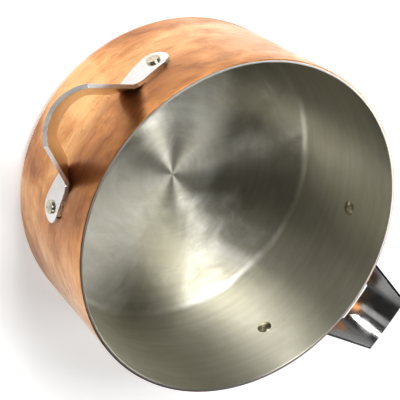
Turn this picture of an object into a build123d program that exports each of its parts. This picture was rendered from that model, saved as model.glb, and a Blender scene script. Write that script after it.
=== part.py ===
from build123d import *
import math
import os

# Copper stockpot: a bonded three-layer body with two riveted strap handles.
# Millimetres, +Z up, origin at the centre of the underside.
# The handles stand at +X and -X.

# Body
body_diameter = 267.0
body_height = 127.0
copper_thickness = 0.9
core_thickness = 1.1
liner_thickness = 0.6
outer_corner_radius = 8.5
inner_corner_radius = 6.5

# Rivets
rivet_height = 76.0
rivet_half_angle = 27.8
rivet_shank_diameter = 6.0
rivet_hole_clearance = 0.1
inner_head_diameter = 12.4
inner_head_height = 1.9
outer_button_diameter = 10.4
outer_button_height = 1.8
outer_button_edge_radius = 0.7
outer_dimple_diameter = 5.2
outer_dimple_depth = 0.5

# Handle strap
strap_thickness = 3.0
grip_width = 33.0
leg_width = 20.0
tab_width = 23.0
grip_flare_angle = 39.7
grip_standoff = 55.9
grip_edge_height = 119.9
grip_bend_radius = 34.1
grip_half_span = 24.8
grip_wrap_angle = 44.0
leg_turn_angle = 66.6
tab_bend_radius = 20.0

body_radius = body_diameter / 2
wall_thickness = copper_thickness + core_thickness + liner_thickness
reach = 3 * body_radius     # longer than anything it cuts

# Directions of the grip: up its width, square out of its face, and along it
flare = math.radians(grip_flare_angle)
across = Vector(math.sin(flare), 0, math.cos(flare))
outward = Vector(math.cos(flare), 0, -math.sin(flare))
sideways = Vector(0, 1, 0)
edge_middle = Vector(body_radius + grip_standoff, 0, grip_edge_height)
bend_centre = edge_middle - outward * grip_bend_radius

# Directions of the +Y leg: out of its outer face, down towards the body, and in from its upper edge
span = math.asin(grip_half_span / grip_bend_radius)
wrap = math.radians(grip_wrap_angle)
turn = math.radians(leg_turn_angle)
leg_normal = outward * math.cos(wrap) + sideways * math.sin(wrap)
tangent = sideways * math.cos(wrap) - outward * math.sin(wrap)
leg_run = tangent * math.cos(turn) - across * math.sin(turn)
leg_inward = leg_run.cross(leg_normal)
leg_corner = bend_centre + (outward * math.cos(span) + sideways * math.sin(span)) * grip_bend_radius
leg_face = bend_centre + leg_normal * (grip_bend_radius - strap_thickness)


def cup(radius, height, floor, corner):
    """Solid of revolution for one nested layer: outer radius, from floor up to height."""
    outline = Polyline((0, floor), (radius, floor), (radius, height), (0, height), close=True)
    solid = revolve(make_face(Plane.XZ * outline), Axis.Z)
    bottom = solid.edges().filter_by(GeomType.CIRCLE).sort_by(Axis.Z)[0]
    return fillet(bottom, corner)


def layer(outer_inset, inner_inset):
    """One bonded layer, between two insets measured from the outside of the body."""
    slope = (outer_corner_radius - inner_corner_radius) / wall_thickness
    outer = cup(body_radius - outer_inset, body_height, outer_inset,
                outer_corner_radius - slope * outer_inset)
    inner = cup(body_radius - inner_inset, body_height + outer_corner_radius, inner_inset,
                outer_corner_radius - slope * inner_inset)
    return outer - inner


def rivet_plane(side, angle):
    """Plane on the body's outside at a rivet, its normal pointing straight out."""
    direction = math.radians(side + angle)
    normal = Vector(math.cos(direction), math.sin(direction), 0)
    return Plane(origin=normal * body_radius + Vector(0, 0, rivet_height),
                 x_dir=(-normal.Y, normal.X, 0), z_dir=normal)


rivet_places = [(side, sign * rivet_half_angle) for side in (0, 180) for sign in (-1, 1)]


def rivet_holes():
    """Drill for every rivet, run from the axis side right through the strap."""
    radius = (rivet_shank_diameter + rivet_hole_clearance) / 2
    length = 2 * (wall_thickness + strap_thickness + outer_button_height + inner_head_height)
    return [rivet_plane(*place) * Cylinder(radius, length) for place in rivet_places]


def rivet(side, angle):
    """Solid rivet: domed head inside, shank, dished button outside."""
    plane = rivet_plane(side, angle)
    seat_out = strap_thickness
    top = seat_out + outer_button_height
    bottom = -wall_thickness - inner_head_height
    overlap = inner_head_height / 2
    shank = plane * Pos(0, 0, (seat_out - wall_thickness) / 2) * Cylinder(
        rivet_shank_diameter / 2, seat_out + wall_thickness + overlap)
    button = Pos(0, 0, (top + seat_out - overlap) / 2) * Cylinder(
        outer_button_diameter / 2, outer_button_height + overlap)
    rim = button.edges().filter_by(GeomType.CIRCLE).sort_by(Axis.Z)[-1]
    button = fillet(rim, outer_button_edge_radius)
    dish_radius = ((outer_dimple_diameter / 2) ** 2 + outer_dimple_depth ** 2) / (2 * outer_dimple_depth)
    button -= Pos(0, 0, top - outer_dimple_depth + dish_radius) * Sphere(dish_radius)
    button = plane * button - round_body(seat_out)
    half = inner_head_diameter / 2
    dome_radius = (half ** 2 + inner_head_height ** 2) / (2 * inner_head_height)
    dome = Pos(0, 0, bottom + dome_radius) * Sphere(dome_radius)
    keep = Pos(0, 0, bottom + (inner_head_height + overlap) / 2) * Cylinder(half, inner_head_height + overlap)
    dome = plane * (dome & keep)
    dome &= round_body(-wall_thickness)
    return shank + button + dome


def round_body(offset):
    """Long plain cylinder on the body's axis, offset from its outside."""
    return Cylinder(body_radius + offset, reach)


def slab(origin, normal, x_dir):
    """Large block whose near face passes through origin and which lies along normal."""
    face = Plane(origin=origin, x_dir=x_dir, z_dir=normal)
    return face * Pos(0, 0, reach / 2) * Box(2 * reach, 2 * reach, reach)


def rolled_sheet():
    """Wide blank of the +Y half: the rolled grip and the flat that runs on from it."""
    outer, inner = grip_bend_radius, grip_bend_radius - strap_thickness

    def at(radius, angle, along=0):
        ray = outward * math.cos(angle) + sideways * math.sin(angle)
        return bend_centre + ray * radius + tangent * along

    profile = make_face([
        ThreePointArc(at(outer, 0), at(outer, wrap / 2), at(outer, wrap)),
        Line(at(outer, wrap), at(outer, wrap, body_radius)),
        Line(at(outer, wrap, body_radius), at(inner, wrap, body_radius)),
        Line(at(inner, wrap, body_radius), at(inner, wrap)),
        ThreePointArc(at(inner, wrap), at(inner, wrap / 2), at(inner, 0)),
        Line(at(inner, 0), at(outer, 0)),
    ])
    return extrude(profile, amount=reach / 2, dir=across, both=True)


def root_point(inset):
    """Where the leg's inner face meets the body, inset from the leg's upper edge.

    The leg's line is followed to the body's round, the nearer root of a quadratic.
    """
    start = leg_corner + leg_inward * inset
    start -= leg_normal * (start - leg_face).dot(leg_normal)
    a = leg_run.X ** 2 + leg_run.Y ** 2
    b = start.X * leg_run.X + start.Y * leg_run.Y
    c = start.X ** 2 + start.Y ** 2 - body_radius ** 2
    return start + leg_run * ((-b - math.sqrt(b ** 2 - a * c)) / a)


def bent_sheet(sheet, root, room, width):
    """Sheet round the root, wider than the strap, bent from the leg onto the body."""
    ring = round_body(strap_thickness) & slab(leg_face, leg_normal, root.x_dir)
    zone = root * Pos(0, (room - reach) / 2, reach / 2 - room) * Box(width, room + reach, reach)
    bent = (sheet + ring - round_body(0)) & zone
    hollow = bent.edges().sort_by_distance(root.origin)[1]
    bent = fillet(hollow, tab_bend_radius)
    ridge = bent.edges().sort_by_distance(root.origin)[0]
    return fillet(ridge, tab_bend_radius + strap_thickness)


def tab_edge(seat, corner, sense):
    """Straight edge of the tab, flat on seat: from a corner at the root to its round end."""
    start = seat.to_local_coords(corner)
    radius = tab_width / 2
    angle = math.atan2(start.Y, start.X) + sense * math.acos(radius / math.hypot(start.X, start.Y))
    return [(start.X, start.Y), (radius * math.cos(angle), radius * math.sin(angle))]


def half_strap():
    """The +Y half of the strap: grip, leg and rounded tab, before its rivet hole."""
    upper, lower = root_point(0), root_point(leg_width)
    root = Plane(origin=(upper + lower) / 2, x_dir=upper - lower, z_dir=leg_normal)
    room = tab_bend_radius + strap_thickness
    sheet = rolled_sheet()
    bent = bent_sheet(sheet, root, room, 2 * tab_width)

    # Outline of the tab, seen square on at its rivet
    seat = rivet_plane(0, rivet_half_angle)
    edges = tab_edge(seat, upper, -1) + tab_edge(seat, lower, 1)[::-1]
    end = Circle(tab_width / 2) + make_face(Polyline(*edges, close=True))
    tab = extrude(seat * end, amount=body_radius / 2, both=True)

    # Outline of the grip and leg, with the gap under the grip cut out
    beyond = slab(upper, (lower - upper).cross(seat.z_dir), seat.z_dir)
    window = slab(edge_middle - across * grip_width, across * -1, outward)
    window &= slab(leg_corner + leg_inward * leg_width, leg_inward, leg_run)
    leg = Pos(0, reach / 2, 0) * Box(2 * reach, reach, 2 * reach) - slab(edge_middle, across, outward)
    leg = leg - slab(leg_corner, leg_inward * -1, leg_run) - window
    far = slab(root.origin + root.y_dir * room, root.y_dir, root.x_dir)
    return (sheet & leg & far) + (bent & leg & beyond) + (bent & tab)


def strap(side):
    """Whole strap handle on one side, with its rivet holes."""
    half = half_strap()
    whole = Rot(0, 0, side) * (half + mirror(half, Plane.XZ))
    return whole - rivet_holes()


def build():
    """Every piece of the pot by its name."""
    pieces = {
        "copper_shell": layer(0, copper_thickness) - rivet_holes(),
        "aluminium_core": layer(copper_thickness, copper_thickness + core_thickness) - rivet_holes(),
        "steel_liner": layer(copper_thickness + core_thickness, wall_thickness) - rivet_holes(),
        "handle_front": strap(0),
        "handle_back": strap(180),
    }
    names = ["rivet_front_left", "rivet_front_right", "rivet_back_left", "rivet_back_right"]
    for name, place in zip(names, rivet_places):
        pieces[name] = rivet(*place)
    return pieces


os.makedirs("parts", exist_ok=True)
for name, piece in build().items():
    export_step(piece, "parts/" + name + ".step")
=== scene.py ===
import bpy
import math
from mathutils import Matrix, Vector


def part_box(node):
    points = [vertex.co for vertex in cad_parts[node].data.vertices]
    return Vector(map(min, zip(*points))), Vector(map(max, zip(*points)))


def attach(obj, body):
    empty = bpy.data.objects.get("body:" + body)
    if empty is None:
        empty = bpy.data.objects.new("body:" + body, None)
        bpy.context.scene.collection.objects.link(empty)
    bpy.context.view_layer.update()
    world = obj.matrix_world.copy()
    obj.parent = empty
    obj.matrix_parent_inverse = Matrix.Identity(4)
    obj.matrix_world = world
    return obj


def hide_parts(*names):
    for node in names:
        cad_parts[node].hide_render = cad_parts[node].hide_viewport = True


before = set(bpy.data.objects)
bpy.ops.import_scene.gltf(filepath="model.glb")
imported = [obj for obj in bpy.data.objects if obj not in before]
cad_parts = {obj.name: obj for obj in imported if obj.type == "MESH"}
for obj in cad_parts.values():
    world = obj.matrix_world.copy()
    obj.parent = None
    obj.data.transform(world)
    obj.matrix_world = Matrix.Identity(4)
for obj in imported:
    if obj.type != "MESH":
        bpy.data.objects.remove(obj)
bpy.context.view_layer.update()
bpy.context.scene.view_settings.view_transform = "Standard"

# lengths are in metres, angles in degrees

smoothAngle = 35                # corners softer than this are shaded smooth

# camera, at the angle the pot was photographed from

view = {
    "place": (0.53296, -0.03995, 0.77083),
    "target": (0.00394, 0.00221, 0.060),
    "roll": -128.84,            # about the line of sight
    "lens": 101.7,              # millimetres, as is the sensor
    "sensor": 36,
    "near": 0.05,
    "far": 20,
}


def makeCamera():
    data = bpy.data.cameras.new("photoCamera")
    data.lens = view["lens"]
    data.sensor_width = view["sensor"]
    data.clip_start = view["near"]
    data.clip_end = view["far"]
    cam = bpy.data.objects.new("photoCamera", data)
    bpy.context.scene.collection.objects.link(cam)
    place = Vector(view["place"])
    sight = (Vector(view["target"]) - place).normalized()
    level = sight.to_track_quat("-Z", "Y").to_matrix()
    turn = Matrix.Rotation(math.radians(view["roll"]), 3, sight)
    cam.matrix_world = Matrix.Translation(place) @ (turn @ level).to_4x4()
    bpy.context.scene.camera = cam
    print("camera set")


# small helpers for the node trees

def addNode(tree, kind, inputs=None, **settings):
    node = tree.nodes.new(kind)
    for key, value in settings.items():
        setattr(node, key, value)
    for key, value in (inputs or {}).items():
        if isinstance(value, bpy.types.NodeSocket):
            tree.links.new(value, node.inputs[key])
        else:
            node.inputs[key].default_value = value
    return node


def maths(tree, operation, first, second=0.0):
    return addNode(tree, "ShaderNodeMath", {0: first, 1: second}, operation=operation).outputs[0]


def newMaterial(name):
    mat = bpy.data.materials.new(name)
    mat.use_nodes = True
    return mat, mat.node_tree, mat.node_tree.nodes["Principled BSDF"]


def finishMetal(tree, bsdf, colour, roughness, normal):
    tree.links.new(colour, bsdf.inputs["Base Color"])
    tree.links.new(roughness, bsdf.inputs["Roughness"])
    tree.links.new(normal, bsdf.inputs["Normal"])
    bsdf.inputs["Metallic"].default_value = 1.0


def ramp(tree, factor, stops):
    node = addNode(tree, "ShaderNodeValToRGB", {"Fac": factor})
    marks = node.color_ramp.elements
    while len(marks) < len(stops):
        marks.new(stops[-1][0])
    for mark, (place, colour) in zip(marks, stops):
        mark.position = place
        mark.color = (*colour, 1)
    return node.outputs["Color"]


def mixColour(tree, factor, first, second):
    node = addNode(tree, "ShaderNodeMix", {0: factor}, data_type="RGBA")
    for socket, value in ((node.inputs[6], first), (node.inputs[7], second)):
        if isinstance(value, bpy.types.NodeSocket):
            tree.links.new(value, socket)
        else:
            socket.default_value = (*value, 1)
    return node.outputs[2]


def rescale(tree, value, span, result):
    inputs = {"Value": value, "From Min": span[0], "From Max": span[1],
              "To Min": result[0], "To Max": result[1]}
    return addNode(tree, "ShaderNodeMapRange", inputs).outputs[0]


def noise(tree, vector, grain):
    # grain holds scale, detail, roughness and distortion
    inputs = dict(zip(("Scale", "Detail", "Roughness", "Distortion"), grain))
    return addNode(tree, "ShaderNodeTexNoise", {"Vector": vector, **inputs}).outputs[0]


def stretched(tree, vector, scale):
    return addNode(tree, "ShaderNodeVectorMath", {0: vector, 1: scale}, operation="MULTIPLY").outputs[0]


def turnedCoords(tree, across, along):
    # object coordinates, and others in which fine detail runs in rings round the pot's axis
    spot = addNode(tree, "ShaderNodeTexCoord").outputs["Object"]
    parts = addNode(tree, "ShaderNodeSeparateXYZ", {0: spot})
    radius = maths(tree, "SQRT", maths(tree, "ADD", maths(tree, "POWER", parts.outputs[0], 2.0),
                                       maths(tree, "POWER", parts.outputs[1], 2.0)))
    depth = maths(tree, "MULTIPLY", maths(tree, "SUBTRACT", parts.outputs[2], radius), across)
    joined = addNode(tree, "ShaderNodeCombineXYZ", {
        0: maths(tree, "MULTIPLY", parts.outputs[0], along),
        1: maths(tree, "MULTIPLY", parts.outputs[1], along),
        2: depth})
    return spot, parts, joined.outputs[0]


def bump(tree, height, relief, normal=None):
    # relief holds distance and strength
    inputs = {"Height": height, "Distance": relief[0], "Strength": relief[1]}
    if normal:
        inputs["Normal"] = normal
    return addNode(tree, "ShaderNodeBump", inputs).outputs[0]


# modelling helpers

def startPiece(name):
    bpy.ops.object.select_all(action="DESELECT")
    print("modelling", name)


def useMaterial(piece, mat):
    piece.data.materials.clear()
    piece.data.materials.append(mat)


def arc(centre, radius, start, end, count):
    # points of a round stretch of a profile
    angles = [math.radians(start + (end - start) * step / count) for step in range(count + 1)]
    return [(centre[0] + radius * math.cos(a), centre[1] + radius * math.sin(a)) for a in angles]


def between(start, end, count):
    # points of a straight stretch, without its two ends
    return [tuple(a + (b - a) * step / count for a, b in zip(start, end)) for step in range(1, count)]


def turnProfile(name, profile, sides):
    # a turned solid: the first ring is filled, each later ring is extruded from the one before
    startPiece(name)
    radius, height = profile[0]
    bpy.ops.mesh.primitive_circle_add(vertices=sides, radius=radius, fill_type="NGON")
    piece = bpy.context.active_object
    piece.name = name
    bpy.ops.object.mode_set(mode="EDIT")
    bpy.ops.mesh.select_mode(type="EDGE")
    bpy.ops.mesh.select_all(action="SELECT")
    bpy.ops.transform.translate(value=(0, 0, height))
    for newRadius, newHeight in profile[1:]:
        share = newRadius / radius
        bpy.ops.mesh.extrude_edges_move(TRANSFORM_OT_translate={"value": (0, 0, newHeight - height)})
        bpy.ops.transform.resize(value=(share, share, 1), center_override=(0, 0, newHeight))
        radius, height = newRadius, newHeight
    bpy.ops.mesh.edge_face_add()
    bpy.ops.mesh.select_all(action="SELECT")
    bpy.ops.mesh.normals_make_consistent(inside=False)
    bpy.ops.object.mode_set(mode="OBJECT")
    bpy.ops.object.shade_smooth_by_angle(angle=math.radians(smoothAngle))
    return piece


# the pot's body

shellLow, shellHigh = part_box("copper_shell")
linerLow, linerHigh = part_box("steel_liner")

body = {
    "radius": min(shellHigh.x, shellHigh.y),
    "height": shellHigh.z,
    "copperThickness": 0.0009,
    "linerThickness": 0.0006,
    "cornerRadius": 0.0085,     # outside, round the base
    "innerCornerRadius": 0.0065,
    "rimRound": 0.00035,
    "sides": 224,
    "cornerSteps": 10,
    "wallSteps": 6,
    "rimSteps": 4,
    "poleRadius": 0.004,        # of the flat that closes each turned face at the axis
}


def cupProfile(outerRadius, floor, outerCorner, wall, innerCorner, roundOutside, roundInside):
    # half section of one layer, from the axis underneath, up over the rim and back to the axis
    top, pole = body["height"], body["poleRadius"]
    innerRadius = outerRadius - wall
    lip = body["rimRound"]
    count, rise, lipCount = body["cornerSteps"], body["wallSteps"], body["rimSteps"]
    points = [(pole, floor)]
    points += between(points[-1], (outerRadius - outerCorner, floor), rise)
    points += arc((outerRadius - outerCorner, floor + outerCorner), outerCorner, -90, 0, count)
    points += between(points[-1], (outerRadius, top - lip), rise)
    if roundOutside:
        points += arc((outerRadius - lip, top - lip), lip, 0, 90, lipCount)
    else:
        points += [(outerRadius, top)]
    if roundInside:
        points += arc((innerRadius + lip, top - lip), lip, 90, 180, lipCount)
    else:
        points += [(innerRadius, top)]
    inside = floor + wall
    points += between(points[-1], (innerRadius, inside + innerCorner), rise)
    points += arc((innerRadius - innerCorner, inside + innerCorner), innerCorner, 0, -90, count)
    points += between(points[-1], (pole, inside), rise) + [(pole, inside)]
    return points


def makeBody(copper, core, liner):
    corner = body["cornerRadius"]
    slope = (corner - body["innerCornerRadius"]) / (shellHigh.x - linerHigh.x + body["linerThickness"])
    wall = body["copperThickness"]
    profile = cupProfile(body["radius"], 0, corner, wall, corner - slope * wall, True, False)
    shell = turnProfile("copperShell", profile, body["sides"])
    useMaterial(shell, copper)
    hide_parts("copper_shell")
    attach(shell, "root")

    wall = body["linerThickness"]
    outerCorner = body["innerCornerRadius"] + slope * wall
    profile = cupProfile(linerHigh.x, linerLow.z, outerCorner, wall, body["innerCornerRadius"], False, True)
    lining = turnProfile("steelLiner", profile, body["sides"])
    useMaterial(lining, liner)
    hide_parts("steel_liner")
    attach(lining, "root")

    useMaterial(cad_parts["aluminium_core"], core)
    print("body made")


# In the looks below, a span is the part of a noise that counts, and an amount is what it becomes.

copperLook = {
    "dark": (0.10, 0.038, 0.016),
    "brown": (0.27, 0.100, 0.034),
    "orange": (0.63, 0.270, 0.085),
    "pink": (0.90, 0.50, 0.21),
    "tonePlaces": (0.36, 0.49, 0.62),       # of brown, orange and pink in the mixed noise
    "blotch": (11.0, 6.0, 0.6, 0.8),
    "blotchShare": 0.62,                    # the cloud makes up the rest
    "cloud": (34.0, 5.0, 0.62, 0.5),
    "cloudSquash": (1, 1, 2.2),
    "mark": (120.0, 3.0, 0.7, 1.4),
    "markSquash": (1, 1, 1.6),
    "markSpan": (0.62, 0.76),
    "markAmount": (0.0, 0.6),
    "strapShadeReach": (0.100, 0.126),            # out along X, where the painted shade by the straps' feet grows
    "strapShadeHeight": 0.098,
    "strapShadeFade": (0.008, 0.034),             # up or down from there
    "strapShadeSpan": (0.42, 0.58),
    "strapShadeAmount": (0.1, 0.9),
    "ringScale": (900.0, 7.0),              # across the fine rings and along them
    "streak": (1.0, 3.0, 0.6, 0.0),
    "streakSpan": (0.35, 0.75),
    "streakAmount": (0.0, 0.16),
    "roughness": (0.42, 0.22),              # from the brown to the pink
    "roughnessSpan": (0.35, 0.65),
    "streakDullSpan": (0.3, 0.7),
    "streakDull": (-0.03, 0.05),
    "wave": (9.0, 2.0, 0.4, 0.0),
    "waveRelief": (0.0006, 0.5),
    "streakRelief": (0.00002, 0.6),
}


def copperMaterial():
    look = copperLook
    mat, tree, bsdf = newMaterial("wornCopper")
    spot, parts, rings = turnedCoords(tree, *look["ringScale"])
    blotch = noise(tree, spot, look["blotch"])
    cloud = noise(tree, stretched(tree, spot, look["cloudSquash"]), look["cloud"])
    tone = maths(tree, "ADD", maths(tree, "MULTIPLY", blotch, look["blotchShare"]),
                 maths(tree, "MULTIPLY", cloud, 1 - look["blotchShare"]))
    colours = [look["brown"], look["orange"], look["pink"]]
    colour = ramp(tree, tone, list(zip(look["tonePlaces"], colours)))

    # small dark marks, then painted shade in brown on the wall by and under the straps' feet, where their
    # shadow and dark reflection fall
    speck = noise(tree, stretched(tree, spot, look["markSquash"]), look["mark"])
    colour = mixColour(tree, rescale(tree, speck, look["markSpan"], look["markAmount"]), colour, look["dark"])
    side = rescale(tree, maths(tree, "ABSOLUTE", parts.outputs[0]), look["strapShadeReach"], (0.0, 1.0))
    rise = maths(tree, "ABSOLUTE", maths(tree, "SUBTRACT", parts.outputs[2], look["strapShadeHeight"]))
    level = rescale(tree, rise, look["strapShadeFade"], (1.0, 0.0))
    # painted shade: the mask that darkens the copper under the straps, where their shadow and dark reflection
    # fall
    darkening = maths(tree, "MULTIPLY", maths(tree, "MULTIPLY", side, level),
                  rescale(tree, cloud, look["strapShadeSpan"], look["strapShadeAmount"]))
    colour = mixColour(tree, darkening, colour, look["brown"])

    streak = noise(tree, rings, look["streak"])
    shade = rescale(tree, streak, look["streakSpan"], look["streakAmount"])
    colour = mixColour(tree, shade, colour, look["dark"])
    dull = maths(tree, "ADD", rescale(tree, blotch, look["roughnessSpan"], look["roughness"]),
                 rescale(tree, streak, look["streakDullSpan"], look["streakDull"]))
    waves = bump(tree, noise(tree, spot, look["wave"]), look["waveRelief"])
    finishMetal(tree, bsdf, colour, dull, bump(tree, streak, look["streakRelief"], waves))
    return mat


coreLook = {
    "bright": (0.58, 0.58, 0.59),
    "dark": (0.319, 0.319, 0.3245),
    "ringScale": (6000.0, 30.0),
    "streak": (1.0, 3.0, 0.6, 0.0),
    "span": (0.3, 0.7),
    "darkAmount": (0.0, 0.5),
    "roughness": (0.30, 0.46),
    "relief": (0.00003, 1.0),
}


def coreMaterial():
    look = coreLook
    mat, tree, bsdf = newMaterial("cutAluminium")
    rings = turnedCoords(tree, *look["ringScale"])[2]
    streak = noise(tree, rings, look["streak"])
    shade = rescale(tree, streak, look["span"], look["darkAmount"])
    colour = mixColour(tree, shade, look["bright"], look["dark"])
    dull = rescale(tree, streak, look["span"], look["roughness"])
    finishMetal(tree, bsdf, colour, dull, bump(tree, streak, look["relief"]))
    return mat


linerLook = {
    "steel": (0.56, 0.545, 0.46),
    "pale": (0.74, 0.73, 0.66),
    "darkening": (0.30, 0.275, 0.20),
    "ringScale": (2600.0, 9.0),
    "brush": (1.0, 4.0, 0.65, 0.0),
    "band": (1.0, 3.0, 0.6, 0.0),           # broad rings, a few brush lines wide
    "bandStretch": (1, 1, 0.08),
    "bandSpan": (0.35, 0.7),
    "bandAmount": (0.0, 0.22),
    "cloud": (16.0, 6.0, 0.62, 1.0),
    "paleSpan": (0.46, 0.62),
    "paleAmount": (0.0, 1.0),
    "spill": (30.0, 5.0, 0.6, 0.6),
    "spillSpan": (0.52, 0.74),
    "spillAmount": (0.0, 0.6),
    "baseHeight": (0.003, 0.012),           # where the clouding of the base thins out
    "baseAmount": (1.0, 0.25),
    "roughness": (0.34, 0.43),
    "roughnessSpan": (0.3, 0.7),
    "paleDull": 0.08,
    "anisotropy": 0.90,
    "turn": 0.25,                           # a quarter turn: glints run across the brush lines
    "dent": (26.0, 4.0, 0.5, 0.0),
    "dentRelief": (0.0006, 0.5),
    "brushRelief": (0.00002, 0.5),
}


def linerMaterial():
    look = linerLook
    mat, tree, bsdf = newMaterial("brushedLining")
    spot, parts, rings = turnedCoords(tree, *look["ringScale"])
    brush = noise(tree, rings, look["brush"])
    band = noise(tree, stretched(tree, rings, look["bandStretch"]), look["band"])
    cloud = noise(tree, spot, look["cloud"])
    spill = noise(tree, spot, look["spill"])
    onBase = rescale(tree, parts.outputs[2], look["baseHeight"], look["baseAmount"])
    pale = maths(tree, "MULTIPLY", rescale(tree, cloud, look["paleSpan"], look["paleAmount"]), onBase)
    darkening = maths(tree, "MULTIPLY", rescale(tree, spill, look["spillSpan"], look["spillAmount"]), onBase)
    colour = mixColour(tree, pale, look["steel"], look["pale"])
    colour = mixColour(tree, darkening, colour, look["darkening"])
    colour = mixColour(tree, rescale(tree, band, look["bandSpan"], look["bandAmount"]), colour, look["darkening"])
    dull = maths(tree, "ADD", rescale(tree, brush, look["roughnessSpan"], look["roughness"]),
                 maths(tree, "MULTIPLY", pale, look["paleDull"]))
    dents = bump(tree, noise(tree, spot, look["dent"]), look["dentRelief"])
    finishMetal(tree, bsdf, colour, dull, bump(tree, brush, look["brushRelief"], dents))
    bsdf.inputs["Anisotropic"].default_value = look["anisotropy"]
    bsdf.inputs["Anisotropic Rotation"].default_value = look["turn"]
    tangent = addNode(tree, "ShaderNodeTangent", direction_type="RADIAL", axis="Z").outputs[0]
    tree.links.new(tangent, bsdf.inputs["Tangent"])
    return mat


# the two strap handles

strap = {
    "mergeGap": 0.000004,
    "flatAngle": 0.05,          # faces that meet at less than this become one
    "edgeRound": 0.00045,
    "edgeSteps": 3,
    "edgeAngle": 40,            # only corners sharper than this are rounded
}


def makeStrap(name, node, mat):
    startPiece(name)
    piece = bpy.data.objects.new(name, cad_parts[node].data.copy())
    bpy.context.scene.collection.objects.link(piece)
    bpy.context.view_layer.objects.active = piece
    piece.select_set(True)
    bpy.ops.object.mode_set(mode="EDIT")
    bpy.ops.mesh.select_all(action="SELECT")
    bpy.ops.mesh.remove_doubles(threshold=strap["mergeGap"])
    bpy.ops.mesh.dissolve_limited(angle_limit=math.radians(strap["flatAngle"]))
    bpy.ops.mesh.normals_make_consistent(inside=False)
    bpy.ops.object.mode_set(mode="OBJECT")
    rounding = piece.modifiers.new("edgeRounding", "BEVEL")
    rounding.width = strap["edgeRound"]
    rounding.segments = strap["edgeSteps"]
    rounding.limit_method = "ANGLE"
    rounding.angle_limit = math.radians(strap["edgeAngle"])
    bpy.ops.object.modifier_apply(modifier=rounding.name)
    bpy.ops.object.shade_smooth_by_angle(angle=math.radians(smoothAngle))
    weighing = piece.modifiers.new("evenShading", "WEIGHTED_NORMAL")
    weighing.keep_sharp = True
    bpy.ops.object.modifier_apply(modifier=weighing.name)
    useMaterial(piece, mat)
    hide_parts(node)
    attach(piece, "root")


handleLook = {
    "colour": (0.68, 0.68, 0.67),
    "haze": (0.54, 0.53, 0.51),
    "smear": (42.0, 4.0, 0.6, 0.8),
    "hazeSpan": (0.45, 0.72),
    "hazeAmount": (0.0, 0.55),
    "roughness": (0.13, 0.26),
    "roughnessSpan": (0.42, 0.7),
    "fine": (1560.0, 2.0, 0.6, 0.0),
    "fineStretch": (1, 0.18, 1),
    "fineSpan": (0.5, 0.8),
    "fineDull": (0.0, 0.08),
    "scratch": (260.0, 3.0, 0.75, 0.6),
    "scratchStretch": (0.3, 1, 2.4),
    "scratchRelief": (0.00001, 0.35),
    "wave": (55.0, 1.0, 0.3, 0.0),
    "waveRelief": (0.0002, 0.25),
}


def handleMaterial():
    look = handleLook
    mat, tree, bsdf = newMaterial("polishedSteel")
    spot = addNode(tree, "ShaderNodeTexCoord").outputs["Object"]
    smear = noise(tree, spot, look["smear"])
    fine = noise(tree, stretched(tree, spot, look["fineStretch"]), look["fine"])
    scratch = noise(tree, stretched(tree, spot, look["scratchStretch"]), look["scratch"])
    haze = rescale(tree, smear, look["hazeSpan"], look["hazeAmount"])
    colour = mixColour(tree, haze, look["colour"], look["haze"])
    dull = maths(tree, "ADD", rescale(tree, smear, look["roughnessSpan"], look["roughness"]),
                 rescale(tree, fine, look["fineSpan"], look["fineDull"]))
    waves = bump(tree, noise(tree, spot, look["wave"]), look["waveRelief"])
    finishMetal(tree, bsdf, colour, dull, bump(tree, scratch, look["scratchRelief"], waves))
    return mat


# the rivets: a low dome inside, a dished button outside

rivet = {
    "headRadius": 0.0062,
    "headHeight": 0.0019,
    "headSink": 0.00005,        # the dome's edge is let into the wall by this
    "headShares": (0.97, 0.9, 0.78, 0.6, 0.4, 0.2),     # rings of the dome, edge to middle
    "shankRadius": 0.0030,
    "buttonRadius": 0.0052,
    "buttonHeight": 0.0018,
    "buttonRound": 0.0007,
    "buttonSteps": 5,
    "buttonSink": 0.0001,       # the button is let into the strap by this
    "dishRadius": 0.0026,
    "dishDepth": 0.0005,
    "dishShares": (0.3, 0.6, 0.85, 1.0),                # rings of the dish, middle to edge
    "strapThickness": 0.003,
    "wallThickness": 0.0026,
    "height": 0.076,
    "halfAngle": 27.8,
    "sides": 64,
    "poleRadius": 0.0003,
}


def rivetProfile():
    # along the rivet's own axis, zero at the outside of the body, outward up
    strapTop, wallIn = rivet["strapThickness"], -rivet["wallThickness"]
    outside = strapTop + rivet["buttonHeight"]
    inside = wallIn - rivet["headHeight"]
    pole, soft = rivet["poleRadius"], rivet["buttonRound"]
    dish, depth = rivet["dishRadius"], rivet["dishDepth"]
    points = [(pole, outside - depth)]
    points += [(dish * share, outside - depth * (1 - share ** 2)) for share in rivet["dishShares"]]
    button, shank = rivet["buttonRadius"], rivet["shankRadius"]
    points += arc((button - soft, outside - soft), soft, 90, 0, rivet["buttonSteps"])
    seat = strapTop - rivet["buttonSink"]
    points += [(button, seat), (shank, seat), (shank, wallIn)]
    head, rise = rivet["headRadius"], rivet["headHeight"]
    points += [(head, wallIn + rivet["headSink"])]
    curve = (head ** 2 + rise ** 2) / (2 * rise)
    angles = [math.asin(head / curve) * share for share in rivet["headShares"]]
    points += [(curve * math.sin(a), inside + curve - curve * math.cos(a)) for a in angles]
    points += [(pole, inside)]
    return points


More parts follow.
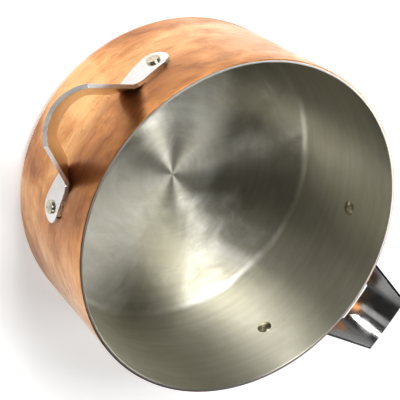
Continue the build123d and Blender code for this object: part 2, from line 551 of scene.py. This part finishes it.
def makeRivets(mat):
    places = [("rivetFrontLeft", "rivet_front_left", 0, -1), ("rivetFrontRight", "rivet_front_right", 0, 1),
              ("rivetBackLeft", "rivet_back_left", 180, -1), ("rivetBackRight", "rivet_back_right", 180, 1)]
    first = turnProfile(places[0][0], rivetProfile(), rivet["sides"])
    useMaterial(first, mat)
    pieces = [first]
    for place in places[1:]:
        copy = bpy.data.objects.new(place[0], first.data.copy())
        bpy.context.scene.collection.objects.link(copy)
        pieces.append(copy)
    for piece, (name, node, side, sign) in zip(pieces, places):
        startPiece(name)
        angle = math.radians(side + sign * rivet["halfAngle"])
        out, up = Vector((math.cos(angle), math.sin(angle), 0)), Vector((0, 0, 1))
        piece.rotation_euler = Matrix((up.cross(out), up, out)).transposed().to_euler()
        piece.location = out * body["radius"] + up * rivet["height"]
        bpy.context.view_layer.objects.active = piece
        piece.select_set(True)
        bpy.ops.object.transform_apply(location=True, rotation=True, scale=True)
        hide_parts(node)
        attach(piece, "root")
    print("rivets made")


rivetLook = {
    "colour": (0.54, 0.50, 0.38),
    "tarnish": (0.22, 0.19, 0.12),
    "cloud": (190.0, 5.0, 0.65, 0.8),
    "tarnishSpan": (0.46, 0.70),
    "tarnishAmount": (0.0, 0.85),
    "roughness": (0.20, 0.36),
    "roughnessSpan": (0.35, 0.7),
    "grain": (1500.0, 2.0, 0.6, 0.0),
    "grainRelief": (0.00003, 0.5),
    "cloudRelief": (0.0001, 0.4),
}


def rivetMaterial():
    look = rivetLook
    mat, tree, bsdf = newMaterial("satinRivet")
    spot = addNode(tree, "ShaderNodeTexCoord").outputs["Object"]
    cloud = noise(tree, spot, look["cloud"])
    grain = noise(tree, spot, look["grain"])
    tarnish = rescale(tree, cloud, look["tarnishSpan"], look["tarnishAmount"])
    colour = mixColour(tree, tarnish, look["colour"], look["tarnish"])
    dull = rescale(tree, cloud, look["roughnessSpan"], look["roughness"])
    dents = bump(tree, cloud, look["cloudRelief"])
    finishMetal(tree, bsdf, colour, dull, bump(tree, grain, look["grainRelief"], dents))
    return mat


# floor and light

studio = {
    "floorSize": 6.0,
    "floorColour": (0.90, 0.90, 0.895),
    "floorRoughness": 0.7,
    "glowColour": (1, 1, 1),
    "floorGlow": 0.45,                  # where seenDirectly is 1
    "skyLow": (0.34, 0.35, 0.36),       # round the horizon
    "skyHigh": (0.02, 0.02, 0.019),     # overhead
    "skyEdge": (0.0, 0.22),             # how steeply up, as the sine, the first gives way to the second
    "aim": (0, 0, 0.06),                # what the lamps point at
}

lamps = {
    "windowLamp": {"power": 12.0, "size": 0.50, "place": (0.28, -0.52, 1.18)},
    "lowLamp": {"power": 6.5, "size": 0.34, "place": (0.88, -0.90, 0.68)},
    "sideLamp": {"power": 2.2, "size": 0.35, "place": (0.05, 0.95, 1.00)},
    "rearLamp": {"power": 5.5, "size": 0.6, "place": (-1.07, -0.32, 1.06)},
    "frontCard": {"power": 0.5, "size": 0.5, "place": (1.20, 0.07, 0.93)},
}


def areaLamp(name, power, size, place):
    data = bpy.data.lights.new(name, "AREA")
    data.energy = power
    data.size = size
    lamp = bpy.data.objects.new(name, data)
    bpy.context.scene.collection.objects.link(lamp)
    lamp.location = place
    lamp.rotation_euler = (Vector(studio["aim"]) - Vector(place)).to_track_quat("-Z", "Y").to_euler()


def seenDirectly(tree):
    # 1 for the camera's rays and those that metal or glass sends on, 0 for diffuse ones
    path = addNode(tree, "ShaderNodeLightPath")
    seen = maths(tree, "MAXIMUM", path.outputs["Is Camera Ray"], path.outputs["Is Glossy Ray"])
    return maths(tree, "MAXIMUM", seen, path.outputs["Is Transmission Ray"])


def makeSky():
    world = bpy.data.worlds.new("studioWorld")
    bpy.context.scene.world = world
    world.use_nodes = True
    sky = world.node_tree
    way = addNode(sky, "ShaderNodeTexCoord").outputs["Generated"]
    height = addNode(sky, "ShaderNodeSeparateXYZ", {0: way}).outputs[2]
    share = rescale(sky, height, studio["skyEdge"], (0.0, 1.0))
    colour = mixColour(sky, share, studio["skyLow"], studio["skyHigh"])
    sky.links.new(colour, sky.nodes["Background"].inputs["Color"])


def makeFloor():
    bpy.ops.object.select_all(action="DESELECT")
    bpy.ops.mesh.primitive_plane_add(size=studio["floorSize"])
    floor = bpy.context.active_object
    floor.name = "floor"
    mat, tree, bsdf = newMaterial("paleFloor")
    bsdf.inputs["Base Color"].default_value = (*studio["floorColour"], 1)
    bsdf.inputs["Roughness"].default_value = studio["floorRoughness"]
    bsdf.inputs["Emission Color"].default_value = (*studio["glowColour"], 1)
    glow = maths(tree, "MULTIPLY", seenDirectly(tree), studio["floorGlow"])
    tree.links.new(glow, bsdf.inputs["Emission Strength"])
    useMaterial(floor, mat)


def makeStudio():
    makeSky()
    for name, lamp in lamps.items():
        areaLamp(name, **lamp)
    makeFloor()
    print("studio set")


makeCamera()
makeBody(copperMaterial(), coreMaterial(), linerMaterial())
polished = handleMaterial()
makeStrap("strapFront", "handle_front", polished)
makeStrap("strapBack", "handle_back", polished)
makeRivets(rivetMaterial())
makeStudio()
